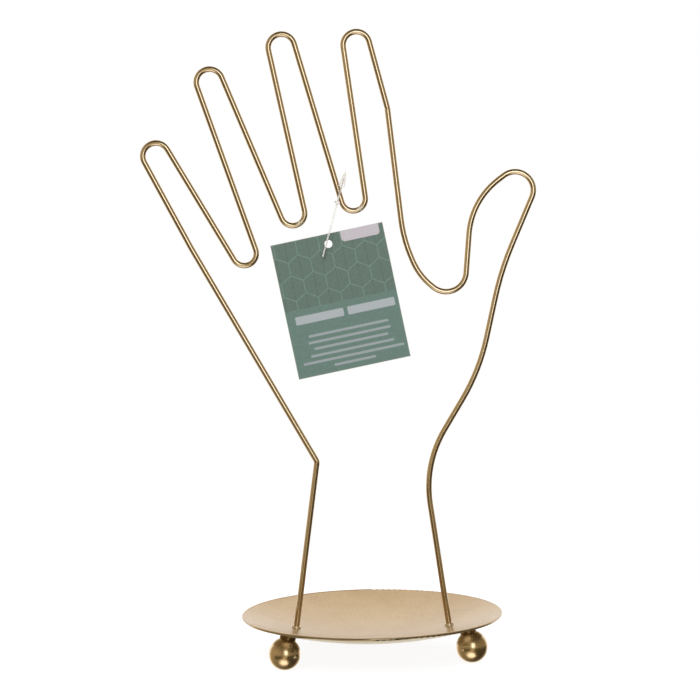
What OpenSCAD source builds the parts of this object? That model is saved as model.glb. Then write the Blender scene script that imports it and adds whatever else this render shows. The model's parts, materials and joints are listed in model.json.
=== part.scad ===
// Jewelry stand: the outline of an open hand in bent wire, on a shallow dish with three ball feet.
// A card tag hangs from the middle finger on a nylon loop.
// The floor under the middle of the dish is the origin, +Z is up and the hand faces -Y.

/* [Dish] */
// Diameter across the top edge of the dish
dish_d = 115; // [100:1:150]
// Depth of the bowl below its top edge
dish_depth = 9.5; // [5:0.5:12]
// Thickness of the dish's sheet metal
dish_t = 1; // [0.5:0.1:1.5]
// Diameter of the rounded edge of the dish
rim_d = 1.2; // [0.6:0.1:2.5]

/* [Feet] */
// Diameter of each ball foot
ball_d = 14; // [10:0.5:20]
// Distance of the middles of the feet in from the edge of the dish
foot_inset = 10.5; // [8:0.5:22]
// Turn of the three feet about the middle of the dish
foot_turn = 6; // [-30:1:30]
// Room for the weld between a ball and the dish
foot_weld_gap = 0.6; // [0.5:0.1:2.5]
// Diameter of the weld on top of a ball
foot_weld_d = 7; // [3:0.5:8]

/* [Wire] */
// Diameter of the wire
wire_d = 2.6; // [1.6:0.1:3]
// Depth of the groove round the joint of the two wires
seam = 0.2; // [0.1:0.05:0.4]
// Width of the weld collar round each wire on the dish
collar_w = 0.7; // [0.5:0.1:2]
// Height of the weld collars
collar_h = 0.8; // [0.5:0.1:2]

/* [Bend radii to the wire's centre line] */
// Fingertips
tip_r = 5.75; // [4:0.25:7]
// Between the fingers
web_r = 5.25; // [4:0.25:6.5]
// Wrist on the little finger's side
wrist_r = 2.5; // [2:0.5:10]
// Side of the little finger
little_side_r = 60; // [20:5:120]
// Side of the index finger
index_side_r = 60; // [30:5:90]
// Root of the thumb
thumb_root_r = 28; // [15:1:30]
// Between the index finger and the thumb
thumb_web_r = 8.75; // [6:0.25:10]
// Inner side of the thumb
thumb_inner_r = 32.5; // [20:0.5:35]
// Tip of the thumb
thumb_tip_r = 8; // [6:0.25:9]
// Outer side of the thumb
thumb_outer_r = 130; // [60:5:140]
// Ball of the thumb
thumb_ball_r = 90; // [40:5:95]
// Wrist on the thumb's side
thumb_wrist_r = 50; // [20:5:70]

/* [Hand: places across, and up from the dish's top edge] */
// Left foot of the wire on the dish, across only
left_foot = -33.5; // [-45:0.5:-25]
// Right foot of the wire on the dish, across only
right_foot = 34; // [25:0.5:45]
// Corner of the wrist on the little finger's side
wrist = [-23, 67.5]; // [-120:0.5:300]
// Slight corner in the little finger's side
little_side = [-76, 162]; // [-120:0.5:300]
// Middle of the bend at the little finger's tip
little_tip = [-90.5, 202.5]; // [-120:0.5:300]
// Middle of the bend between the little and ring fingers
little_web = [-53, 159.5]; // [-120:0.5:300]
// Middle of the bend at the ring finger's tip
ring_tip = [-66.5, 234]; // [-120:0.5:300]
// Middle of the bend between the ring and middle fingers
ring_web = [-31.5, 176.5]; // [-120:0.5:300]
// Middle of the bend at the middle finger's tip
middle_tip = [-35, 248.5]; // [-120:0.5:300]
// Middle of the bend between the middle and index fingers
index_web = [-5, 182.5]; // [-120:0.5:300]
// Middle of the bend at the index finger's tip
index_tip = [-2.5, 249]; // [-120:0.5:300]
// Joint of the two wires, on the index finger's outer side
joint = [10.5, 221.5]; // [-120:0.5:300]
// Corner in the index finger's side
index_side = [16.5, 165]; // [-120:0.5:300]
// Corner at the thumb's root
thumb_root = [23, 148.5]; // [-120:0.5:300]
// Middle of the bend between the index finger and the thumb
thumb_web = [35, 150]; // [-120:0.5:300]
// Corner in the thumb's inner side
thumb_inner = [46.5, 181]; // [-120:0.5:300]
// Middle of the bend at the thumb's tip
thumb_tip = [65.5, 185]; // [-120:0.5:300]
// Corner in the thumb's outer side
thumb_outer = [59, 150]; // [-120:0.5:300]
// Corner at the ball of the thumb
thumb_ball = [49, 106.5]; // [-120:0.5:300]
// Corner of the wrist on the thumb's side
thumb_wrist = [24, 65.5]; // [-120:0.5:300]

/* [Tag] */
// Width of the card
tag_w = 50; // [30:1:60]
// Height of the card
tag_h = 60; // [40:1:70]
// Thickness of the card
tag_t = 0.5; // [0.3:0.1:1]
// Diameter of the punched hole
tag_hole_d = 3.5; // [2.5:0.1:5]
// Distance of the hole's middle from the top edge
tag_hole_drop = 4.5; // [3.5:0.5:10]
// Tilt of the card as it hangs
tag_tilt = 11; // [-10:1:20]

/* [Loop] */
// Thickness of the nylon
loop_d = 0.7; // [0.5:0.05:1]
// Height of the loop's crossing above the bend, along the middle finger
loop_up = 3.5; // [1:0.5:12]
// Length of the loop from the finger down to the card's hole
loop_drop = 22.5; // [18:0.5:40]
// Lean of the loop
loop_lean = 16; // [5:1:20]
// How far the front strand dips below the hole before it turns back up
loop_dip = 5.5; // [3:0.5:8]
// Room between the nylon and what it passes
loop_clear = 0.4; // [0.3:0.05:0.8]
// Wall of the loop's eye round the two strands
eye_wall = 0.3; // [0.2:0.1:0.6]
// Height of the loop's eye
eye_h = 1; // [0.6:0.1:2]
// Distance of the eye below the finger
eye_low = 3.5; // [2:0.5:6]
// Distance of the barb's prongs above the finger
barb_up = 3.5; // [2:0.5:6]
// Length of the barbed tip
barb_len = 7; // [4:0.5:10]
// Width of the barbed tip across its prongs
barb_w = 3; // [2.4:0.1:4]
// Thickness of the barbed tip
barb_t = 0.9; // [0.8:0.1:1.5]

/* [Hidden] */
$fn = 96;
// Straight runs reach this far into the bends, which are a hair thicker
bend_lap = 0.02;
bend_swell = 0.01;
// The middle of the sheet is part of a sphere that ends in the middle of the rounded edge
rim_r = dish_d / 2 - rim_d / 2;
wall_h = dish_depth + dish_t / 2 - rim_d / 2;
wall_r = (pow(rim_r, 2) + pow(wall_h, 2)) / (2 * wall_h);
bowl_r = wall_r - dish_t / 2;
shell_r = wall_r + dish_t / 2;
rim_angle = asin(rim_r / wall_r);
bowl_up = bowl_r - dish_depth;
foot_ring_r = dish_d / 2 - foot_inset;
foot_lean = asin(foot_ring_r / (shell_r + foot_weld_gap + ball_d / 2));
rim_z = ball_d / 2 + foot_ring_r / tan(foot_lean) - bowl_up;
left_at = [left_foot, bowl_up - sqrt(pow(bowl_r, 2) - pow(left_foot, 2))];
right_at = [right_foot, bowl_up - sqrt(pow(bowl_r, 2) - pow(right_foot, 2))];

// A bend is [across, up, turn, corner]. A turn is the radius of a bend about that place,
// positive to the left, and a corner is the radius that rounds a corner at that place.
function point(p) = [p.x, p.y, 0, 0];
function turn(p, r) = [p.x, p.y, r, 0];
function corner(p, r) = [p.x, p.y, 0, r];

finger_route = [
  point(left_at),
  corner(wrist, wrist_r),
  corner(little_side, little_side_r),
  turn(little_tip, -tip_r),
  turn(little_web, web_r),
  turn(ring_tip, -tip_r),
  turn(ring_web, web_r),
  turn(middle_tip, -tip_r),
  turn(index_web, web_r),
  turn(index_tip, -tip_r),
  point(joint)
];
thumb_route = [
  point(right_at),
  corner(thumb_wrist, thumb_wrist_r),
  corner(thumb_ball, thumb_ball_r),
  corner(thumb_outer, thumb_outer_r),
  turn(thumb_tip, thumb_tip_r),
  corner(thumb_inner, thumb_inner_r),
  turn(thumb_web, -thumb_web_r),
  corner(thumb_root, thumb_root_r),
  corner(index_side, index_side_r),
  point(joint)
];

// Direction of the straight run from one bend to the next, and where a run touches a bend
function heading(a, b) =
  atan2(b.y - a.y, b.x - a.x) + asin((a[2] - b[2]) / norm([b.x - a.x, b.y - a.y]));
function along(h) = [cos(h), sin(h)];
function aside(h) = [sin(h), -cos(h)];
function run_heading(route, i) = heading(route[i], route[i + 1]);
function run_start(route, i) = [route[i].x, route[i].y] + route[i][2] * aside(run_heading(route, i));
function run_end(route, i) =
  [route[i + 1].x, route[i + 1].y] + route[i + 1][2] * aside(run_heading(route, i));
function run_len(route, i) = norm(run_end(route, i) - run_start(route, i));

// Turn of a bend, from -180 to 180 degrees, or past that for a bend about a place
function wrapped(a) = a - 360 * floor((a + 180) / 360);
function bend_angle(route, i) =
  let (a = wrapped(run_heading(route, i) - run_heading(route, i - 1)), r = route[i][2])
  r > 0 && a < -90 ? a + 360 : r < 0 && a > 90 ? a - 360 : a;

// A corner's arc takes at most half of a run that it shares with another corner
function is_corner(b) = b[3] > 0;
function room(route, i) = min(
  run_len(route, i - 1) * (is_corner(route[i - 1]) ? 0.49 : 0.98),
  run_len(route, i) * (is_corner(route[i + 1]) ? 0.49 : 0.98)
);
function corner_cut(route, i) =
  is_corner(route[i]) ? min(route[i][3] * abs(tan(bend_angle(route, i) / 2)), room(route, i)) : 0;

loop_at = run_end(finger_route, 7) - loop_up * along(run_heading(finger_route, 7));
loop_cross = run_heading(finger_route, 7) + 90 + loop_lean;
loop_r = (wire_d / 2 + loop_d / 2 + loop_clear) / abs(sin(loop_cross));
strand_gap = tag_t / 2 + loop_d / 2 + loop_clear;
strand_step = loop_d + loop_clear;
hole_shift = tag_hole_d / 2 - loop_d / 2 - loop_clear;
hole_at = loop_at - loop_drop * [sin(loop_lean), cos(loop_lean)];

// The loop, seen from the side: across is towards the front, and up is along its lean.
// From its eye it runs over the finger, down behind the card, through the hole,
// dips in front of the card and comes back up through the eye to the barb.
loop_route = [
  point([loop_r, -eye_low]),
  turn([0, 0], loop_r),
  turn([loop_d - strand_gap, loop_d - loop_drop], loop_d),
  turn([strand_gap - loop_d, -loop_d - loop_drop], -loop_d),
  turn([strand_gap + strand_step / 2, strand_step / 2 - loop_drop - loop_dip], strand_step / 2),
  point([loop_r + strand_step, barb_up + barb_len * 0.6])
];

// Straight run of a wire after bend i, lengthened at either end
module run(route, i, d, before = 0, after = 0) {
  h = run_heading(route, i);
  start = run_start(route, i) + (corner_cut(route, i) - before - bend_lap) * along(h);
  end = run_end(route, i) - (corner_cut(route, i + 1) - after - bend_lap) * along(h);
  translate(start)
    rotate([0, 90, h])
      cylinder(h = norm(end - start), d = d);
}

// Arc of a wire at bend i
module bend(route, i, d) {
  h = run_heading(route, i - 1);
  a = bend_angle(route, i);
  cut = corner_cut(route, i);
  r = is_corner(route[i]) ? cut / abs(tan(a / 2)) : abs(route[i][2]);
  middle = is_corner(route[i])
    ? run_end(route, i - 1) - cut * along(h) - sign(a) * r * aside(h)
    : [route[i].x, route[i].y];
  translate(middle)
    rotate(a > 0 ? h - 90 : h + a + 90)
      rotate_extrude(angle = abs(a))
        translate([r, 0])
          circle(d = d + bend_swell);
}

// Stands a drawing of the hand up in its plane, level with the dish's top edge
module upright() {
  translate([0, 0, rim_z])
    rotate([90, 0, 0])
      children();
}

// Solid under the bowl's surface, which gives the pieces on the dish their seats
module under_bowl() {
  rotate([-90, 0, 0])
    rotate_extrude($fn = 180)
      difference() {
        translate([0, -dish_depth - wire_d * 2])
          square([dish_d / 2, dish_depth + wire_d * 2]);
        translate([0, bowl_up])
          circle(r = bowl_r, $fn = 1440);
      }
}

// Wire that stands on the dish and ends in half of the groove at the joint
module wire(route, seam_heading) {
  last = len(route) - 2;
  difference() {
    run(route, 0, wire_d, before = wire_d);
    under_bowl();
  }
  for (i = [1 : last - 1])
    run(route, i, wire_d);
  for (i = [1 : last])
    bend(route, i, wire_d);
  intersection() {
    run(route, last, wire_d, after = wire_d);
    translate(joint)
      rotate([0, 90, seam_heading])
        cylinder(
          h = run_len(route, last),
          r1 = wire_d / 2 - seam,
          r2 = wire_d / 2 - seam + run_len(route, last)
        );
  }
}

function joint_heading() =
  (run_heading(finger_route, len(finger_route) - 2)
    + run_heading(thumb_route, len(thumb_route) - 2) - 180) / 2;

module finger_wire() {
  color("goldenrod")
    upright()
      wire(finger_route, joint_heading() + 180);
}

module thumb_wire() {
  color("goldenrod")
    upright()
      wire(thumb_route, joint_heading());
}

// Profile of part of a hollow sphere under the dish's rim, about the middle of the bowl's sphere
module shell_profile(inner_r, outer_r) {
  intersection() {
    difference() {
      circle(r = outer_r, $fn = 1440);
      circle(r = inner_r, $fn = 1440);
    }
    polygon([
      [0, 0],
      [0, -2 * bowl_r],
      2 * bowl_r * [sin(rim_angle), -cos(rim_angle)]
    ]);
  }
}

// Collar of weld metal round the foot of a wire, which follows the bowl's surface
module wire_weld(route) {
  color("palegoldenrod")
    intersection() {
      translate([0, 0, rim_z + bowl_up])
        rotate_extrude($fn = 180)
          shell_profile(bowl_r - collar_h, bowl_r);
      upright()
        translate(run_start(route, 0))
          rotate([0, 90, run_heading(route, 0)])
            translate([0, 0, -collar_h])
              difference() {
                cylinder(
                  h = 3 * collar_h,
                  d1 = wire_d + 2.5 * collar_w,
                  d2 = wire_d + collar_w
                );
                translate([0, 0, -collar_h])
                  cylinder(h = 5 * collar_h, d = wire_d);
              }
    }
}

module wire_weld_left() {
  wire_weld(finger_route);
}

module wire_weld_right() {
  wire_weld(thumb_route);
}

module dish() {
  color("burlywood")
    translate([0, 0, rim_z + bowl_up])
      rotate_extrude($fn = 180) {
        shell_profile(bowl_r, shell_r);
        translate(wall_r * [sin(rim_angle), -cos(rim_angle)])
          circle(d = rim_d);
      }
}

// Where a foot stands: a ball with its weld on top leans to the middle of the bowl's sphere
module at_foot(angle) {
  rotate(angle + foot_turn)
    translate([foot_ring_r, 0, ball_d / 2])
      rotate([0, -foot_lean, 0])
        children();
}

module ball_foot(angle) {
  color("goldenrod")
    at_foot(angle)
      sphere(d = ball_d, $fn = 240);
}

module foot_weld(angle) {
  color("darkgoldenrod")
    difference() {
      at_foot(angle)
        cylinder(h = ball_d / 2 + foot_weld_gap + dish_t / 2, d = foot_weld_d);
      at_foot(angle)
        sphere(d = ball_d, $fn = 240);
      translate([0, 0, rim_z + bowl_up])
        rotate_extrude($fn = 180)
          intersection() {
            circle(r = shell_r, $fn = 1440);
            translate([0, -shell_r])
              square([dish_d / 2, dish_depth + dish_t]);
          }
    }
}

module ball_foot_left() {
  ball_foot(210);
}

module ball_foot_right() {
  ball_foot(330);
}

module ball_foot_rear() {
  ball_foot(90);
}

module foot_weld_left() {
  foot_weld(210);
}

module foot_weld_right() {
  foot_weld(330);
}

module foot_weld_rear() {
  foot_weld(90);
}

module hang_tag() {
  color("darkseagreen")
    upright()
      translate(hole_at)
        rotate(tag_tilt)
          translate([hole_shift, 0, -tag_t / 2])
            linear_extrude(tag_t)
              difference() {
                translate([-tag_w / 2, tag_hole_drop - tag_h])
                  square([tag_w, tag_h]);
                circle(d = tag_hole_d);
              }
}

// Flat arrowhead whose prongs spread back along its stem
module barb() {
  translate([0, 0, -barb_t / 2])
    linear_extrude(barb_t)
      polygon([
        [0, barb_len],
        [-barb_w / 4, barb_len * 0.75],
        [-barb_w / 2, 0],
        [-barb_w / 2 + loop_d, 0],
        [-loop_d / 2, barb_len * 0.5],
        [loop_d / 2, barb_len * 0.5],
        [barb_w / 2 - loop_d, 0],
        [barb_w / 2, 0],
        [barb_w / 4, barb_len * 0.75]
      ]);
}

module tag_loop() {
  last = len(loop_route) - 2;
  color("whitesmoke")
    upright()
      translate(loop_at)
        rotate(-loop_lean) {
          rotate([0, -90, 0]) {
            for (i = [0 : last])
              run(loop_route, i, loop_d);
            for (i = [1 : last])
              bend(loop_route, i, loop_d);
            translate([loop_r + strand_step / 2, -eye_low - eye_h / 2, 0])
              rotate([-90, 0, 0])
                cylinder(h = eye_h, d = strand_step + loop_d + 2 * eye_wall);
          }
          translate([0, barb_up, loop_r + strand_step])
            barb();
        }
}

finger_wire();
thumb_wire();
wire_weld_left();
wire_weld_right();
dish();
ball_foot_left();
ball_foot_right();
ball_foot_rear();
foot_weld_left();
foot_weld_right();
foot_weld_rear();
hang_tag();
tag_loop();
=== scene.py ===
"""Looks of a jewelry stand: an open hand outlined in bent wire on a shallow dish with ball feet."""
import json
import logging
import math
from dataclasses import dataclass
from enum import Enum
from functools import reduce

import bmesh
import bpy
from mathutils import Matrix, Vector


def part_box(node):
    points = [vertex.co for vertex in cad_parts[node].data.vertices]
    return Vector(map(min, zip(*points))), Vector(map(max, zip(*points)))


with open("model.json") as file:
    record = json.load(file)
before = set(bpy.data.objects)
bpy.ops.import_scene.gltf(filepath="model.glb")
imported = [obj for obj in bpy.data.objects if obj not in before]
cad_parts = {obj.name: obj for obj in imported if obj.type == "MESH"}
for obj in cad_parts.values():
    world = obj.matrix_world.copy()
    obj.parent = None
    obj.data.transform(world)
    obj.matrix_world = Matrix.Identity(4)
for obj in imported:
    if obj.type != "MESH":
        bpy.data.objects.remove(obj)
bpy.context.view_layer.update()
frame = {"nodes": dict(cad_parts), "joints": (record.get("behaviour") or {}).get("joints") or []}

log = logging.getLogger("hand_stand")
MM = 0.001
WHITE = (1.0, 1.0, 1.0, 1.0)
CLOUD_DETAIL = 4.0
CLOUD_ROUGHNESS = 0.6
CLOUD_RANGE = (0.3, 0.7)
# Places of a Mix node's colour sockets, which share their names with its other sockets.
MIX_A = 6
MIX_B = 7
MIX_RESULT = 2

Colour = tuple[float, float, float]
Place = tuple[float, float, float]
Pair = tuple[float, float]
Range = tuple[float, float]
Box = tuple[float, float, float, float]
Link = bpy.types.NodeSocket


def linear(colour: Colour) -> tuple[float, float, float, float]:
    """Turns a screen colour into the linear one that shaders take.

    Args:
        colour: red, green and blue from 0 to 255, as a picture shows them.

    Returns:
        Linear red, green and blue from 0 to 1, and an alpha of 1.
    """
    out = []
    for part in colour:
        part /= 255.0
        out.append(part / 12.92 if part <= 0.04045 else ((part + 0.055) / 1.055) ** 2.4)
    return out[0], out[1], out[2], 1.0


def grey(level: float) -> tuple[float, float, float, float]:
    """Gives the linear grey of a level, with an alpha of 1."""
    return level, level, level, 1.0


def metres(place: Place) -> Vector:
    """Turns a place in millimetres into metres."""
    return Vector(place) * MM


def half_width(node: str) -> float:
    """Gives half a node's width at rest in millimetres."""
    low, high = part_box(node)
    return (high[0] - low[0]) / 2 / MM


def pivot(name: str) -> Vector:
    """Gives the place of a joint at rest in metres."""
    return Vector(next(joint["pos_m"] for joint in frame["joints"] if joint["name"] == name))


class Sheen(Enum):
    """How finely a surface is polished, as a roughness."""

    POLISHED = 0.13
    TUMBLED = 0.22
    BURNISHED = 0.27
    SATIN = 0.34
    PAPER = 0.62


class Sketch:
    """Adds nodes to one tree and joins them."""

    def __init__(self, tree: bpy.types.NodeTree) -> None:
        """Keeps the tree."""
        self.tree = tree

    def node(self, kind: str, **settings: object) -> bpy.types.Node:
        """Adds a node.

        Args:
            kind: the node's type name.
            settings: properties to set on it.

        Returns:
            The new node.
        """
        made = self.tree.nodes.new(kind)
        for name, value in settings.items():
            setattr(made, name, value)
        return made

    def feed(self, socket: Link, value: object) -> None:
        """Joins a socket to another node's output, or sets its constant value.

        Args:
            socket: the input.
            value: an output to join it to, or the value to set.
        """
        if isinstance(value, bpy.types.NodeSocket):
            self.tree.links.new(value, socket)
        else:
            socket.default_value = value

    def group(self, tree: bpy.types.NodeTree, **values: object) -> bpy.types.Node:
        """Places a node group.

        Args:
            tree: the group.
            values: outputs or constants for its inputs, by name.

        Returns:
            The group's node.
        """
        made = self.node("ShaderNodeGroup", node_tree=tree)
        for name, value in values.items():
            self.feed(made.inputs[name], value)
        return made

    def math(self, operation: str, a: object, b: object = 0.0, clamp: bool = False) -> Link:
        """Adds a Math node.

        Args:
            operation: what it works out.
            a: first socket or number.
            b: second socket or number.
            clamp: whether the result stays from 0 to 1.

        Returns:
            The result's socket.
        """
        made = self.node("ShaderNodeMath", operation=operation, use_clamp=clamp)
        self.feed(made.inputs[0], a)
        self.feed(made.inputs[1], b)
        return made.outputs[0]

    def fold(self, operation: str, values: list[Link]) -> Link:
        """Chains one Math operation over several sockets."""
        return reduce(lambda so_far, value: self.math(operation, so_far, value), values)

    def scaled(self, value: object, by: float, plus: float = 0.0) -> Link:
        """Gives a value times one number plus another."""
        return self.math("ADD", self.math("MULTIPLY", value, by), plus)

    def vector(self, operation: str, a: object, b: object, output: str = "Vector") -> Link:
        """Adds a Vector Math node with two inputs.

        Args:
            operation: what it works out.
            a: first socket or vector.
            b: second socket or vector.
            output: Vector, or Value for a distance or a dot product.

        Returns:
            The result's socket.
        """
        made = self.node("ShaderNodeVectorMath", operation=operation)
        self.feed(made.inputs[0], a)
        self.feed(made.inputs[1], b)
        return made.outputs[output]

    def axes(self, value: Link) -> tuple[Link, Link, Link]:
        """Splits a vector into its X, Y and Z.

        Args:
            value: the vector's socket.

        Returns:
            The three sockets.
        """
        made = self.node("ShaderNodeSeparateXYZ")
        self.feed(made.inputs["Vector"], value)
        return made.outputs["X"], made.outputs["Y"], made.outputs["Z"]

    def blend(self, factor: object, a: object, b: object, blend_type: str = "MIX") -> Link:
        """Mixes two colours.

        Args:
            factor: share of the second colour.
            a: first colour.
            b: second colour.
            blend_type: how they mix.

        Returns:
            The mixed colour's socket.
        """
        made = self.node("ShaderNodeMix", data_type="RGBA", blend_type=blend_type)
        self.feed(made.inputs["Factor"], factor)
        self.feed(made.inputs[MIX_A], a)
        self.feed(made.inputs[MIX_B], b)
        return made.outputs[MIX_RESULT]

    def step(self, value: object, low: float, high: float) -> Link:
        """Runs smoothly from 0 to 1.

        Args:
            value: the socket that it follows.
            low: where the result is 0.
            high: where it is 1, which may be the smaller number.

        Returns:
            The result's socket.
        """
        made = self.node("ShaderNodeMapRange", interpolation_type="SMOOTHSTEP")
        self.feed(made.inputs["Value"], value)
        flip = low > high
        made.inputs["From Min"].default_value = high if flip else low
        made.inputs["From Max"].default_value = low if flip else high
        made.inputs["To Min"].default_value = 1.0 if flip else 0.0
        made.inputs["To Max"].default_value = 0.0 if flip else 1.0
        return made.outputs["Result"]

    def place(self) -> Link:
        """Gives the Object coordinates."""
        return self.node("ShaderNodeTexCoord").outputs["Object"]

    def facing(self) -> Link:
        """Gives the surface's own direction."""
        return self.node("ShaderNodeTexCoord").outputs["Normal"]


def group_tree(name: str, inputs: dict[str, str], outputs: dict[str, str]) -> bpy.types.NodeTree:
    """Starts a shader node group.

    Args:
        name: the group's name.
        inputs: socket types by name.
        outputs: socket types by name.

    Returns:
        The empty group with its sockets.
    """
    tree = bpy.data.node_groups.new(name, "ShaderNodeTree")
    for label, kind in inputs.items():
        tree.interface.new_socket(name=label, in_out="INPUT", socket_type=kind)
    for label, kind in outputs.items():
        tree.interface.new_socket(name=label, in_out="OUTPUT", socket_type=kind)
    return tree


def mottle_group() -> bpy.types.NodeTree:
    """Builds the cloudy change of tone that plated metal, print and nylon share.

    Returns:
        A group that takes a place, a scale and two colours, and gives a colour and a mask.
    """
    tree = group_tree(
        "mottle",
        {
            "Place": "NodeSocketVector",
            "Scale": "NodeSocketFloat",
            "Light": "NodeSocketColor",
            "Dark": "NodeSocketColor",
        },
        {"Colour": "NodeSocketColor", "Mask": "NodeSocketFloat"},
    )
    s = Sketch(tree)
    given = s.node("NodeGroupInput")
    out = s.node("NodeGroupOutput")
    cloud = s.node("ShaderNodeTexNoise")
    cloud.inputs["Detail"].default_value = CLOUD_DETAIL
    cloud.inputs["Roughness"].default_value = CLOUD_ROUGHNESS
    s.feed(cloud.inputs["Vector"], given.outputs["Place"])
    s.feed(cloud.inputs["Scale"], given.outputs["Scale"])
    mask = s.step(cloud.outputs["Fac"], *CLOUD_RANGE)
    s.feed(out.inputs["Colour"], s.blend(mask, given.outputs["Dark"], given.outputs["Light"]))
    s.feed(out.inputs["Mask"], mask)
    return tree


def speck_group() -> bpy.types.NodeTree:
    """Builds scattered round specks, such as pits and dust in a coat.

    Returns:
        A group that takes a place, a scale, a size and a share, and gives a mask.
    """
    tree = group_tree(
        "specks",
        {
            "Place": "NodeSocketVector",
            "Scale": "NodeSocketFloat",
            "Size": "NodeSocketFloat",
            "Share": "NodeSocketFloat",
        },
        {"Mask": "NodeSocketFloat"},
    )
    s = Sketch(tree)
    given = s.node("NodeGroupInput")
    out = s.node("NodeGroupOutput")
    cells = s.node("ShaderNodeTexVoronoi")
    s.feed(cells.inputs["Vector"], given.outputs["Place"])
    s.feed(cells.inputs["Scale"], given.outputs["Scale"])
    near = s.math("LESS_THAN", cells.outputs["Distance"], given.outputs["Size"])
    pick = s.node("ShaderNodeSeparateColor")
    s.feed(pick.inputs["Color"], cells.outputs["Color"])
    chosen = s.math("LESS_THAN", pick.outputs["Red"], given.outputs["Share"])
    s.feed(out.inputs["Mask"], s.math("MULTIPLY", near, chosen))
    return tree


MOTTLE = mottle_group()
SPECKS = speck_group()


def new_material(name: str) -> tuple[bpy.types.Material, Sketch, bpy.types.Node]:
    """Starts a material.

    Args:
        name: the material's name.

    Returns:
        The material, a sketch of its tree and its main shader.
    """
    material = bpy.data.materials.new(name)
    material.use_nodes = True
    s = Sketch(material.node_tree)
    shader = material.node_tree.nodes["Principled BSDF"]
    return material, s, shader


@dataclass
class Coating:
    """What a metal's shader takes, as sockets or plain numbers."""

    colour: Link
    roughness: Link
    metal: object
    lacquer: object


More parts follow.
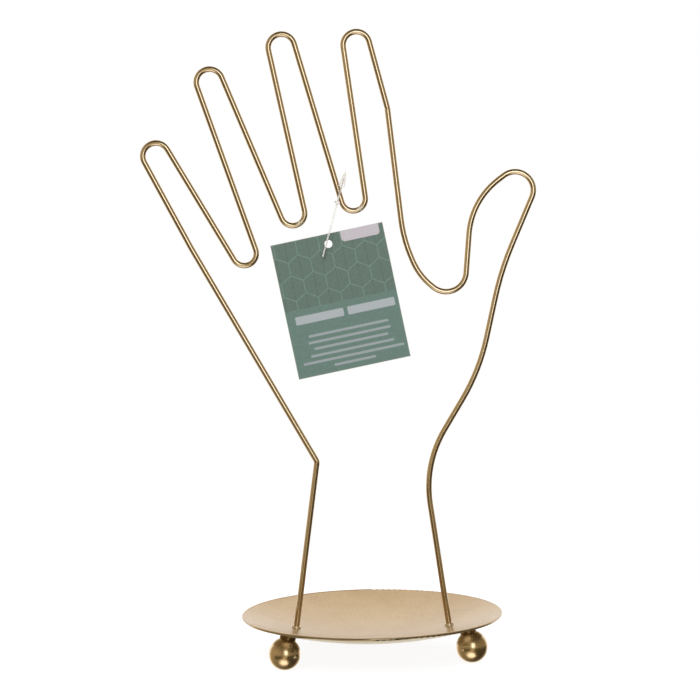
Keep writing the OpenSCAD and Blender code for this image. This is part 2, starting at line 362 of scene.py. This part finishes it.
@dataclass(frozen=True)
class MetalFinish:
    """A gold-coloured metal surface, with lengths in millimetres.

    rim_of names the round node whose outer edge is worn bright, and painted_under_reflection paints
    a pale reflection of the bright floor on the faces that look down.
    """

    name: str
    light: Colour
    dark: Colour
    sheen: Sheen
    metallic: float = 1.0
    cloud_scale: float = 60.0
    roughness_spread: float = 0.06
    grain_scale: float = 2500.0
    grain_detail: float = 2.0
    grain_depth: float = 0.02
    grain_height: float = 0.1
    grain_tint: float = 0.0
    fleck_grain: Range = (0.4, 0.7)
    speck_scale: float = 300.0
    speck_size: float = 0.2
    speck_share: float = 0.0
    speck_colour: Colour = (90, 66, 40)
    scuffs: tuple[Place, ...] = ()
    scuff_r: float = 2.2
    scuff_core: float = 0.88
    scuff_grain: Range = (0.42, 0.6)
    scuff_dulling: float = 0.25
    scuff_colour: Colour = (214, 206, 190)
    lacquer: float = 0.0
    lacquer_sheen: float = 0.05
    lacquer_ior: float = 1.5
    rim_of: str = ""
    rim_w: float = 0.65
    rim_fade: float = 0.3
    rim_facing: Range = (0.8, 0.4)
    rim_colour: Colour = (168, 149, 117)
    painted_under_reflection: Colour | None = None
    painted_reflection_facing: Range = (-0.2, -0.5)

    def fleck(self, s: Sketch, place: Link, grain: Link, coating: Coating) -> None:
        """Adds dark grain and scattered specks.

        Args:
            s: the material's sketch.
            place: Object coordinates.
            grain: the metal's grain.
            coating: what to change.
        """
        tint = linear(self.speck_colour)
        if self.grain_tint > 0:
            share = s.math("MULTIPLY", s.step(grain, *self.fleck_grain), self.grain_tint)
            coating.colour = s.blend(share, coating.colour, tint)
        if self.speck_share > 0:
            specks = s.group(
                SPECKS, Place=place, Scale=self.speck_scale, Size=self.speck_size, Share=self.speck_share
            )
            coating.colour = s.blend(specks.outputs["Mask"], coating.colour, tint)

    def scuff(self, s: Sketch, place: Link, grain: Link, coating: Coating) -> None:
        """Rubs the lacquer and the shine off small spots.

        Args:
            s: the material's sketch.
            place: Object coordinates.
            grain: the metal's grain.
            coating: what to change.
        """
        for spot in self.scuffs:
            reach = s.vector("DISTANCE", place, metres(spot), "Value")
            near = s.step(reach, self.scuff_r * MM, self.scuff_core * MM)
            rub = s.math("MULTIPLY", near, s.step(grain, *self.scuff_grain))
            dulling = s.math("MULTIPLY", rub, self.scuff_dulling)
            coating.colour = s.blend(rub, coating.colour, linear(self.scuff_colour))
            coating.roughness = s.math("ADD", coating.roughness, dulling, clamp=True)
            coating.lacquer = s.math("SUBTRACT", coating.lacquer, rub, clamp=True)
            coating.metal = s.math("SUBTRACT", coating.metal, rub, clamp=True)

    def wear(self, s: Sketch, place: Link, coating: Coating) -> None:
        """Paints a pale reflection of the floor on the underside and polishes the outer side of the rim.

        Args:
            s: the material's sketch.
            place: Object coordinates.
            coating: what to change.
        """
        if not (self.painted_under_reflection or self.rim_of):
            return
        _, _, upward = s.axes(s.facing())
        # Painted reflection: faces that look down take a pale colour in place of the bright floor they
        # mirror.
        if self.painted_under_reflection:
            share = s.step(upward, *self.painted_reflection_facing)
            coating.colour = s.blend(share, coating.colour, linear(self.painted_under_reflection))
        if self.rim_of:
            rim_r = half_width(self.rim_of) - self.rim_w
            flat = s.vector("MULTIPLY", place, (1.0, 1.0, 0.0))
            out = s.vector("DISTANCE", flat, (0.0, 0.0, 0.0), "Value")
            outer = s.step(out, rim_r * MM, (rim_r + self.rim_fade) * MM)
            worn = s.math("MULTIPLY", outer, s.step(upward, *self.rim_facing))
            polish = s.math("MULTIPLY", worn, Sheen.POLISHED.value - self.sheen.value)
            coating.colour = s.blend(worn, coating.colour, linear(self.rim_colour))
            coating.roughness = s.math("ADD", coating.roughness, polish)
            coating.metal = s.math("MAXIMUM", worn, coating.metal)

    def material(self) -> bpy.types.Material:
        """Builds the material.

        Returns:
            The finished material.
        """
        material, s, shader = new_material(self.name)
        place = s.place()
        cloud = s.group(
            MOTTLE, Place=place, Scale=self.cloud_scale, Light=linear(self.light), Dark=linear(self.dark)
        )
        noise = s.node("ShaderNodeTexNoise")
        noise.inputs["Scale"].default_value = self.grain_scale
        noise.inputs["Detail"].default_value = self.grain_detail
        s.feed(noise.inputs["Vector"], place)
        grain = noise.outputs["Fac"]
        spread = self.roughness_spread
        roughness = s.scaled(grain, spread * 2, self.sheen.value - spread)
        coating = Coating(cloud.outputs["Colour"], roughness, self.metallic, self.lacquer)
        self.fleck(s, place, grain, coating)
        self.scuff(s, place, grain, coating)
        self.wear(s, place, coating)
        bump = s.node("ShaderNodeBump")
        bump.inputs["Strength"].default_value = self.grain_depth
        bump.inputs["Distance"].default_value = self.grain_height * MM
        s.feed(bump.inputs["Height"], grain)
        s.feed(shader.inputs["Base Color"], coating.colour)
        s.feed(shader.inputs["Metallic"], coating.metal)
        s.feed(shader.inputs["Roughness"], coating.roughness)
        s.feed(shader.inputs["Normal"], bump.outputs["Normal"])
        s.feed(shader.inputs["Coat Weight"], coating.lacquer)
        shader.inputs["Coat Roughness"].default_value = self.lacquer_sheen
        shader.inputs["Coat IOR"].default_value = self.lacquer_ior
        return material


@dataclass(frozen=True)
class CardFinish:
    """Green printed card: a honeycomb over a plain half, with a pale tab, plain blocks and rules.

    Lengths are in millimetres, across and down from the card's top left corner. The two fades are
    in widths of a line, far is added to the distance from a line past the line's ends, and each
    ink is the share of its colour.
    """

    name: str = "printed_card"
    hung_by: str = "tag_swing"
    tilt: float = 11.0
    hole: Pair = (24.0, 4.5)
    width: float = 50.0
    height: float = 60.0
    edge_w: float = 0.3
    cell_w: float = 9.86
    peak: Pair = (11.0, 6.28)
    line_w: float = 0.165
    line_fade: Range = (1.5, 0.5)
    line_ink: float = 0.64
    middle_fade: Range = (0.9, 0.3)
    middle_ink: float = 0.85
    far: float = 9.0
    hatch_w: float = 1.0
    hatch_shade: Range = (0.1, 0.4)
    hatch_ink: float = 0.45
    block_ink: float = 0.45
    rule_ink: float = 0.3
    soft: float = 0.12
    halves_soft: float = 0.1
    upper: Colour = (103, 121, 110)
    lower: Colour = (104, 126, 116)
    ridge: Colour = (124, 152, 140)
    valley: Colour = (82, 95, 85)
    pale: Colour = (221, 215, 222)
    tab_colour: Colour = (192, 183, 187)
    core: Colour = (186, 180, 164)
    cloud_scale: float = 900.0
    cloud_light: float = 1.06
    cloud_dark: float = 0.94
    roughness_spread: float = 0.08
    gloss: float = 0.3
    tab: Box = (31.0, 48.0, -3.0, 4.85)
    tab_corner: float = 1.5
    blocks: tuple[Box, ...] = ((3.9, 25.4, 33.0, 36.6), (27.2, 48.2, 33.0, 36.6))
    block_corner: float = 0.6
    rules: tuple[tuple[float, float, float], ...] = (
        (8.0, 43.7, 42.4),
        (7.4, 44.1, 45.3),
        (9.4, 42.5, 48.2),
        (7.3, 44.5, 51.2),
        (3.4, 48.4, 54.0),
        (16.6, 35.2, 56.8),
    )
    rule_h: float = 1.1
    rule_corner: float = 0.5

    def across_and_down(self, s: Sketch) -> tuple[Link, Link, Link]:
        """Measures the card from its top left corner.

        Args:
            s: the material's sketch.

        Returns:
            Sockets for the way across, the way down and the depth from the middle of the card.
        """
        turn = math.radians(self.tilt)
        from_hole = s.vector("SUBTRACT", s.place(), pivot(self.hung_by))
        grown = s.vector("MULTIPLY", from_hole, (1 / MM, 1 / MM, 1 / MM))
        across = s.vector("DOT_PRODUCT", grown, (math.cos(turn), 0, math.sin(turn)), "Value")
        up = s.vector("DOT_PRODUCT", grown, (-math.sin(turn), 0, math.cos(turn)), "Value")
        depth = s.vector("DOT_PRODUCT", grown, (0, 1, 0), "Value")
        return s.math("ADD", across, self.hole[0]), s.math("SUBTRACT", self.hole[1], up), depth

    def wave(self, s: Sketch, value: Link, period: float, start: float = 0.0) -> Link:
        """Folds a length into its distance from the nearest of evenly spaced lines.

        Args:
            s: the material's sketch.
            value: the length.
            period: distance between the lines.
            start: where one of them is.

        Returns:
            The distance's socket.
        """
        return s.math("PINGPONG", s.math("SUBTRACT", value, start), period / 2)

    def past(self, s: Sketch, value: Link, length: float) -> Link:
        """Measures how far a place is from the nearer end of a length."""
        return s.math("MINIMUM", value, s.math("SUBTRACT", length, value))

    def honeycomb(self, s: Sketch, u: Link, v: Link) -> tuple[Link, Link]:
        """Draws pointed-top hexagons with a faint line down the middle of each.

        Args:
            s: the material's sketch.
            u: way across.
            v: way down.

        Returns:
            Masks of the cells' edges and of the middle lines.
        """
        slant = math.radians(30)
        side = self.cell_w / math.sqrt(3)
        row_h = side * 1.5
        edges: list[Link] = []
        middles: list[Link] = []
        for row in range(2):
            start_u = self.peak[0] + row * self.cell_w / 2
            start_v = self.peak[1] + row * row_h
            over = self.wave(s, u, self.cell_w, start_u)
            rise = s.math("MULTIPLY", over, math.tan(slant))
            zigzag = self.wave(s, s.math("SUBTRACT", v, rise), row_h * 2, start_v)
            slanted = s.math("MULTIPLY", zigzag, math.cos(slant))
            down = self.wave(s, v, row_h * 2, start_v + side)
            past_side = s.math("MULTIPLY", s.math("GREATER_THAN", down, side / 2), self.far)
            past_cell = s.math("MULTIPLY", s.math("GREATER_THAN", down, side), self.far)
            upright = s.math("ADD", s.math("SUBTRACT", self.cell_w / 2, over), past_side)
            edges += [slanted, upright]
            middles.append(s.math("ADD", over, past_cell))
        edge = s.fold("MINIMUM", edges)
        middle = s.fold("MINIMUM", middles)
        return (
            s.step(edge, *(share * self.line_w for share in self.line_fade)),
            s.step(middle, *(share * self.line_w for share in self.middle_fade)),
        )

    def bar(self, s: Sketch, u: Link, v: Link, box: Box, corner: float) -> Link:
        """Masks a box with rounded corners and a slightly soft edge.

        Args:
            s: the material's sketch.
            u: way across.
            v: way down.
            box: left, right, top and bottom.
            corner: radius of its corners.

        Returns:
            The mask's socket.
        """
        left, right, top, bottom = box
        r = min(corner, (right - left) / 2, (bottom - top) / 2)
        over = s.math("ABSOLUTE", s.math("SUBTRACT", u, (left + right) / 2))
        down = s.math("ABSOLUTE", s.math("SUBTRACT", v, (top + bottom) / 2))
        past_side = s.math("MAXIMUM", s.math("SUBTRACT", over, (right - left) / 2 - r), 0.0)
        past_end = s.math("MAXIMUM", s.math("SUBTRACT", down, (bottom - top) / 2 - r), 0.0)
        squares = [s.math("POWER", past_side, 2.0), s.math("POWER", past_end, 2.0)]
        reach = s.math("SQRT", s.fold("ADD", squares))
        return s.step(reach, r + self.soft, r - self.soft)

    def ground(self, s: Sketch, u: Link, v: Link) -> Link:
        """Colours the hatched honeycomb half and the plain half.

        Args:
            s: the material's sketch.
            u: way across.
            v: way down.

        Returns:
            The colour's socket.
        """
        edges, middles = self.honeycomb(s, u, v)
        hatch = s.step(self.wave(s, s.math("ADD", u, v), self.hatch_w), *self.hatch_shade)
        valley = linear(self.valley)
        upper = s.blend(s.math("MULTIPLY", hatch, self.hatch_ink), linear(self.upper), valley)
        upper = s.blend(s.math("MULTIPLY", middles, self.middle_ink), upper, valley)
        upper = s.blend(s.math("MULTIPLY", edges, self.line_ink), upper, linear(self.ridge))
        half = self.height / 2
        in_lower = s.step(v, half - self.halves_soft, half + self.halves_soft)
        return s.blend(in_lower, upper, linear(self.lower))

    def marks(self, s: Sketch, u: Link, v: Link) -> Link:
        """Masks the plain blocks and rules, each at its own strength.

        Args:
            s: the material's sketch.
            u: way across.
            v: way down.

        Returns:
            The mask's socket.
        """
        made: list[Link] = []
        for box in self.blocks:
            made.append(s.math("MULTIPLY", self.bar(s, u, v, box, self.block_corner), self.block_ink))
        for left, right, middle in self.rules:
            box = (left, right, middle - self.rule_h / 2, middle + self.rule_h / 2)
            made.append(s.math("MULTIPLY", self.bar(s, u, v, box, self.rule_corner), self.rule_ink))
        return s.fold("MAXIMUM", made)

    def material(self) -> bpy.types.Material:
        """Builds the material.

        Returns:
            The finished material.
        """
        material, s, shader = new_material(self.name)
        u, v, depth = self.across_and_down(s)
        front = s.math("LESS_THAN", depth, 0.0)
        colour = s.blend(front, linear(self.lower), self.ground(s, u, v))
        cloud = s.group(
            MOTTLE, Place=s.place(), Scale=self.cloud_scale,
            Light=grey(self.cloud_light), Dark=grey(self.cloud_dark),
        )
        colour = s.blend(1.0, colour, cloud.outputs["Colour"], "MULTIPLY")
        inside = s.math("MINIMUM", self.past(s, u, self.width), self.past(s, v, self.height))
        colour = s.blend(s.step(inside, self.edge_w, 0.0), colour, linear(self.core))
        tab = self.bar(s, u, v, self.tab, self.tab_corner)
        colour = s.blend(s.math("MULTIPLY", tab, front), colour, linear(self.tab_colour))
        marks = s.math("MULTIPLY", self.marks(s, u, v), front)
        colour = s.blend(marks, colour, linear(self.pale))
        roughness = s.scaled(cloud.outputs["Mask"], self.roughness_spread, Sheen.PAPER.value)
        s.feed(shader.inputs["Base Color"], colour)
        s.feed(shader.inputs["Roughness"], roughness)
        shader.inputs["Specular IOR Level"].default_value = self.gloss
        return material


@dataclass(frozen=True)
class NylonFinish:
    """Clear moulded nylon, paler along the thin strand than in the thick tip."""

    name: str = "clear_nylon"
    strand: Colour = (252, 249, 246)
    tip: Colour = (230, 222, 215)
    tip_z: Range = (197.0, 204.0)
    cloud_scale: float = 800.0
    cloud_dark: float = 0.94
    roughness: float = 0.14
    roughness_spread: float = 0.1
    transmission: float = 0.55
    ior: float = 1.5

    def material(self) -> bpy.types.Material:
        """Builds the material.

        Returns:
            The finished material.
        """
        material, s, shader = new_material(self.name)
        place = s.place()
        cloud = s.group(
            MOTTLE, Place=place, Scale=self.cloud_scale, Light=WHITE, Dark=grey(self.cloud_dark)
        )
        _, _, height = s.axes(place)
        start, end = self.tip_z
        colour = s.blend(s.step(height, start * MM, end * MM), linear(self.strand), linear(self.tip))
        colour = s.blend(1.0, colour, cloud.outputs["Colour"], "MULTIPLY")
        roughness = s.scaled(cloud.outputs["Mask"], self.roughness_spread, self.roughness)
        s.feed(shader.inputs["Base Color"], colour)
        s.feed(shader.inputs["Roughness"], roughness)
        shader.inputs["Transmission Weight"].default_value = self.transmission
        shader.inputs["IOR"].default_value = self.ior
        return material


def paint(node: str, material: bpy.types.Material) -> None:
    """Puts a material on a CAD node.

    Args:
        node: the node's name.
        material: its finish.
    """
    mesh = frame["nodes"][node].data
    mesh.materials.clear()
    mesh.materials.append(material)
    log.info("%s: %s", node, material.name)


@dataclass
class Stand:
    """The metal pieces, which all belong to one body."""

    wire: MetalFinish = MetalFinish(
        "polished_wire", (208, 176, 120), (198, 164, 108), Sheen.TUMBLED,
        roughness_spread=0.02, grain_depth=0.003,
        lacquer=1.0, lacquer_sheen=0.1, lacquer_ior=2.6,
        scuffs=((-2.0, -1.0, 197.2), (-28.4, -1.0, 191.2)),
    )
    ball: MetalFinish = MetalFinish(
        "tumbled_ball", (210, 178, 122), (196, 162, 106), Sheen.BURNISHED,
        cloud_scale=260.0, grain_scale=900.0, grain_depth=0.12,
        speck_share=0.05, speck_scale=420.0,
        lacquer=1.0, lacquer_sheen=0.14, lacquer_ior=2.0,
    )
    dish: MetalFinish = MetalFinish(
        "satin_dish", (184, 154, 109), (176, 145, 100), Sheen.SATIN,
        metallic=0.7, cloud_scale=40.0, grain_scale=1500.0, grain_tint=0.16, grain_depth=0.03,
        speck_share=0.3, speck_scale=760.0, speck_size=0.17, speck_colour=(120, 94, 60),
        # The pale colour on the dish's underside is a painted reflection of the bright floor below it.
        lacquer=0.2, lacquer_sheen=0.16, rim_of="dish", painted_under_reflection=(212, 199, 172),
    )
    collar: MetalFinish = MetalFinish(
        "wire_weld", (222, 202, 166), (206, 182, 142), Sheen.SATIN, metallic=0.8
    )
    # Painted shade: the foot welds are coloured dark brown in place of the shade between the balls and
    # the dish.
    painted_shade_bead: MetalFinish = MetalFinish("foot_weld", (130, 100, 58), (104, 78, 44), Sheen.SATIN)

    def dress(self) -> None:
        """Gives each metal node its finish."""
        coats = {
            self.wire: ("finger_wire", "thumb_wire"),
            self.dish: ("dish",),
            self.collar: ("wire_weld_left", "wire_weld_right"),
            self.ball: ("ball_foot_left", "ball_foot_right", "ball_foot_rear"),
            self.painted_shade_bead: ("foot_weld_left", "foot_weld_right", "foot_weld_rear"),
        }
        for finish, nodes in coats.items():
            material = finish.material()
            for node in nodes:
                paint(node, material)


@dataclass
class Tag:
    """The card and the nylon loop that it hangs on."""

    card: CardFinish = CardFinish()
    loop: NylonFinish = NylonFinish()

    def dress(self) -> None:
        """Gives the card and the loop their finishes."""
        paint("hang_tag", self.card.material())
        paint("tag_loop", self.loop.material())


@dataclass(frozen=True)
class Room:
    """The surroundings: white to the eye, and brightness by direction to polished metal.

    Each range in x, y or z is a stretch of that axis of the direction, over which the brightness
    comes in. below_spread is the same in the cosine of the angle from below_way, and front_gap is
    the share of the left's light that is missing round the strip in front.
    """

    ambient: float = 0.5
    low: float = 0.08
    level: float = 0.33
    level_z: Range = (-0.14, -0.04)
    high: float = 0.12
    high_z: Range = (0.3, 0.8)
    left: float = 0.42
    left_low: float = 0.25
    left_z: Range = (-0.75, -0.2)
    left_x: Range = (0.5, -0.8)
    front: float = 0.55
    front_x: Range = (0.32, 0.12)
    front_y: Range = (0.0, -0.4)
    front_top_z: Range = (-0.06, -0.13)
    front_bottom_z: Range = (-0.55, -0.4)
    front_gap: float = 0.95
    back: float = 0.8
    back_y: Range = (0.3, 0.9)
    back_z: Range = (-0.9, -0.6)
    below: float = 1.2
    below_way: Place = (-0.12, -0.55, -0.826)
    below_spread: Range = (0.84, 0.97)
    tint: Colour = (255, 237, 200)

    def sides(self, s: Sketch, x: Link, y: Link, z: Link) -> Link:
        """Lights the level sides, with a brighter left and a thin strip low in front between dark gaps.

        Args:
            s: the world's sketch.
            x: way to the right.
            y: way back.
            z: way up.

        Returns:
            The brightness above the lowest.
        """
        level = s.math("MULTIPLY", s.step(z, *self.level_z), self.level - self.low)
        left = s.scaled(s.step(z, *self.left_z), self.left - self.left_low, self.left_low)
        left = s.math("MULTIPLY", left, s.step(x, *self.left_x))
        in_front = s.fold(
            "MULTIPLY",
            [s.step(z, *self.front_top_z), s.step(z, *self.front_bottom_z), s.step(y, *self.front_y)],
        )
        left = s.math("MULTIPLY", left, s.scaled(in_front, -self.front_gap, 1.0))
        strip = s.math("MULTIPLY", s.step(s.math("ABSOLUTE", x), *self.front_x), in_front)
        left = s.math("ADD", left, s.math("MULTIPLY", strip, self.front))
        return s.math("MAXIMUM", level, left)

    def build(self) -> None:
        """Makes the world."""
        world = bpy.data.worlds.new("studio")
        bpy.context.scene.world = world
        world.use_nodes = True
        s = Sketch(world.node_tree)
        ground = world.node_tree.nodes["Background"]
        path = s.node("ShaderNodeLightPath")
        mirrored = path.outputs["Is Glossy Ray"]
        way = s.place()
        x, y, z = s.axes(way)
        sides = self.sides(s, x, y, z)
        high = s.math("MULTIPLY", s.step(z, *self.high_z), self.high - self.level)
        back = s.math("MULTIPLY", s.step(y, *self.back_y), s.step(z, *self.back_z))
        back = s.math("MULTIPLY", back, self.back)
        toward = s.vector("DOT_PRODUCT", way, self.below_way, "Value")
        patch = s.step(toward, *self.below_spread)
        below = s.math("MULTIPLY", patch, self.below)
        shown = s.math("ADD", s.fold("ADD", [sides, high, back, below]), self.low - self.ambient)
        dim = s.math("MULTIPLY", mirrored, shown)
        seen = s.math("MAXIMUM", path.outputs["Is Camera Ray"], path.outputs["Is Transmission Ray"])
        bright = s.scaled(seen, 1.0 - self.ambient, self.ambient)
        s.feed(ground.inputs["Strength"], s.math("ADD", dim, bright))
        warm = s.math("SUBTRACT", mirrored, patch, clamp=True)
        s.feed(ground.inputs["Color"], s.blend(warm, WHITE, linear(self.tint)))


@dataclass(frozen=True)
class SoftBox:
    """A rectangular lamp that points at the middle of the hand, with lengths in millimetres."""

    name: str
    at: Place
    size: Pair
    watts: float
    mirrored: bool = False
    colour: Colour = (255, 255, 255)
    aim: Place = (0.0, 0.0, 130.0)

    def hang(self) -> None:
        """Adds the lamp, which the camera doesn't see."""
        data = bpy.data.lights.new(self.name, "AREA")
        data.shape = "RECTANGLE"
        data.size, data.size_y = (length * MM for length in self.size)
        data.energy = self.watts
        data.color = linear(self.colour)[:3]
        obj = bpy.data.objects.new(self.name, data)
        bpy.context.scene.collection.objects.link(obj)
        way = Vector(self.aim) - Vector(self.at)
        obj.location = metres(self.at)
        obj.rotation_euler = way.to_track_quat("-Z", "Y").to_euler()
        obj.visible_camera = False
        obj.visible_glossy = self.mirrored


@dataclass(frozen=True)
class StageWhite:
    """A white stage surface that still takes the object's shadow.

    albedo is the brightness of its own colour. glow is the light that the camera and clear plastic
    see besides, and mirrored the light that polished metal sees instead.
    """

    name: str
    albedo: float
    glow: float
    mirrored: float

    def material(self) -> bpy.types.Material:
        """Builds the material.

        Returns:
            The finished material.
        """
        material, s, shader = new_material(self.name)
        shader.inputs["Base Color"].default_value = grey(self.albedo)
        shader.inputs["Roughness"].default_value = 1.0
        shader.inputs["Specular IOR Level"].default_value = 0.0
        path = s.node("ShaderNodeLightPath")
        seen = s.math("MAXIMUM", path.outputs["Is Camera Ray"], path.outputs["Is Transmission Ray"])
        glow = s.math("MULTIPLY", seen, self.glow)
        shown = s.math("MULTIPLY", path.outputs["Is Glossy Ray"], self.mirrored)
        shader.inputs["Emission Color"].default_value = WHITE
        s.feed(shader.inputs["Emission Strength"], s.math("MAXIMUM", glow, shown))
        return material


def flat_sheet(width: float, height: float) -> bmesh.types.BMesh:
    """Starts a level rectangle round the origin.

    Args:
        width: its size along X in millimetres.
        height: its size along Y in millimetres.

    Returns:
        The new bmesh.
    """
    bm = bmesh.new()
    bmesh.ops.create_grid(bm, x_segments=1, y_segments=1, size=0.5)
    bmesh.ops.scale(bm, vec=(width * MM, height * MM, 1), verts=bm.verts)
    return bm


def add_stage(name: str, bm: bmesh.types.BMesh, material: bpy.types.Material, seen: bool) -> None:
    """Turns a bmesh into a stage object that isn't part of the stand.

    Args:
        name: the object's name.
        bm: its mesh, which is used up.
        material: its material.
        seen: whether the camera sees it, or else polished metal does.
    """
    mesh = bpy.data.meshes.new(name)
    bm.to_mesh(mesh)
    bm.free()
    mesh.materials.append(material)
    obj = bpy.data.objects.new(name, mesh)
    bpy.context.scene.collection.objects.link(obj)
    obj.visible_camera = seen
    obj.visible_glossy = not seen


@dataclass
class Studio:
    """Camera, floor, backdrop, reflectors and light, with lengths in millimetres."""

    camera_at: Place = (-7.62, -1000.0, 211.95)
    pitch: float = 4.375
    roll: float = -1.033
    lens: float = 117.756
    sensor: float = 36.0
    clip_m: Range = (0.01, 50.0)
    floor: StageWhite = StageWhite("floor_white", 0.25, 0.9, 0.0)
    floor_r: float = 230.0
    floor_sides: int = 128
    backdrop: StageWhite = StageWhite("backdrop_white", 0.02, 1.0, 1.32)
    backdrop_size: Pair = (2400.0, 2000.0)
    backdrop_at: Place = (0.0, 900.0, 600.0)
    reflector: StageWhite = StageWhite("reflector_white", 0.0, 0.0, 2.1)
    reflector_size: Pair = (23.0, 23.0)
    reflector_from_foot: Pair = (-2.5, -26.5)
    reflector_z: float = -20.0
    reflected_in: tuple[str, ...] = ("ball_foot_left", "ball_foot_right")
    room: Room = Room()
    lamps: tuple[SoftBox, ...] = (
        SoftBox("key", (190, -1250, 400), (520, 760), 3.3, mirrored=True, colour=(229, 243, 255)),
        SoftBox("fill", (-300, -1100, 1100), (900, 900), 14.5),
        SoftBox("back_fill", (300, 820, 700), (700, 700), 9.0),
    )

    def set_camera(self) -> None:
        """Sets the camera up where the photograph was taken."""
        data = bpy.data.cameras.new("camera")
        data.lens = self.lens
        data.sensor_width = self.sensor
        data.sensor_fit = "HORIZONTAL"
        data.clip_start, data.clip_end = self.clip_m
        obj = bpy.data.objects.new("camera", data)
        bpy.context.scene.collection.objects.link(obj)
        p, r = math.radians(self.pitch), math.radians(self.roll)
        ahead = Vector((0, math.cos(p), -math.sin(p)))
        up = Vector((0, math.sin(p), math.cos(p)))
        side = Vector((1, 0, 0))
        right = math.cos(r) * side + math.sin(r) * up
        top = math.cos(r) * up - math.sin(r) * side
        turn = Matrix((right, top, -ahead)).transposed().to_4x4()
        obj.matrix_world = Matrix.Translation(metres(self.camera_at)) @ turn
        bpy.context.scene.camera = obj

    def lay_floor(self) -> None:
        """Lays the round floor."""
        bm = bmesh.new()
        bmesh.ops.create_circle(bm, cap_ends=True, segments=self.floor_sides, radius=self.floor_r * MM)
        add_stage("floor", bm, self.floor.material(), seen=True)

    def hang_backdrop(self) -> None:
        """Hangs the upright backdrop that the metal shows."""
        bm = flat_sheet(*self.backdrop_size)
        upright = Matrix.Rotation(math.radians(90), 3, "X")
        bmesh.ops.rotate(bm, cent=(0, 0, 0), matrix=upright, verts=bm.verts)
        bmesh.ops.translate(bm, vec=metres(self.backdrop_at), verts=bm.verts)
        add_stage("backdrop", bm, self.backdrop.material(), seen=False)

    def lay_reflectors(self) -> None:
        """Lays a small card low in front of each ball that it shows in."""
        card = self.reflector.material()
        across, ahead = self.reflector_from_foot
        for foot in self.reflected_in:
            low, high = (Vector(corner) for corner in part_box(foot))
            at = (low + high) / 2 + metres((across, ahead, 0.0))
            at.z = self.reflector_z * MM
            bm = flat_sheet(*self.reflector_size)
            bmesh.ops.translate(bm, vec=at, verts=bm.verts)
            add_stage(f"reflector_{foot}", bm, card, seen=False)

    def build(self) -> None:
        """Sets the whole studio up."""
        self.set_camera()
        self.lay_floor()
        self.hang_backdrop()
        self.lay_reflectors()
        self.room.build()
        for lamp in self.lamps:
            lamp.hang()
        bpy.context.scene.view_settings.view_transform = "Standard"


def main() -> None:
    """Builds the studio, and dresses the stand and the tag."""
    logging.basicConfig(level=logging.INFO, format="%(message)s")
    Studio().build()
    Stand().dress()
    Tag().dress()


if __name__ == "__main__":
    main()
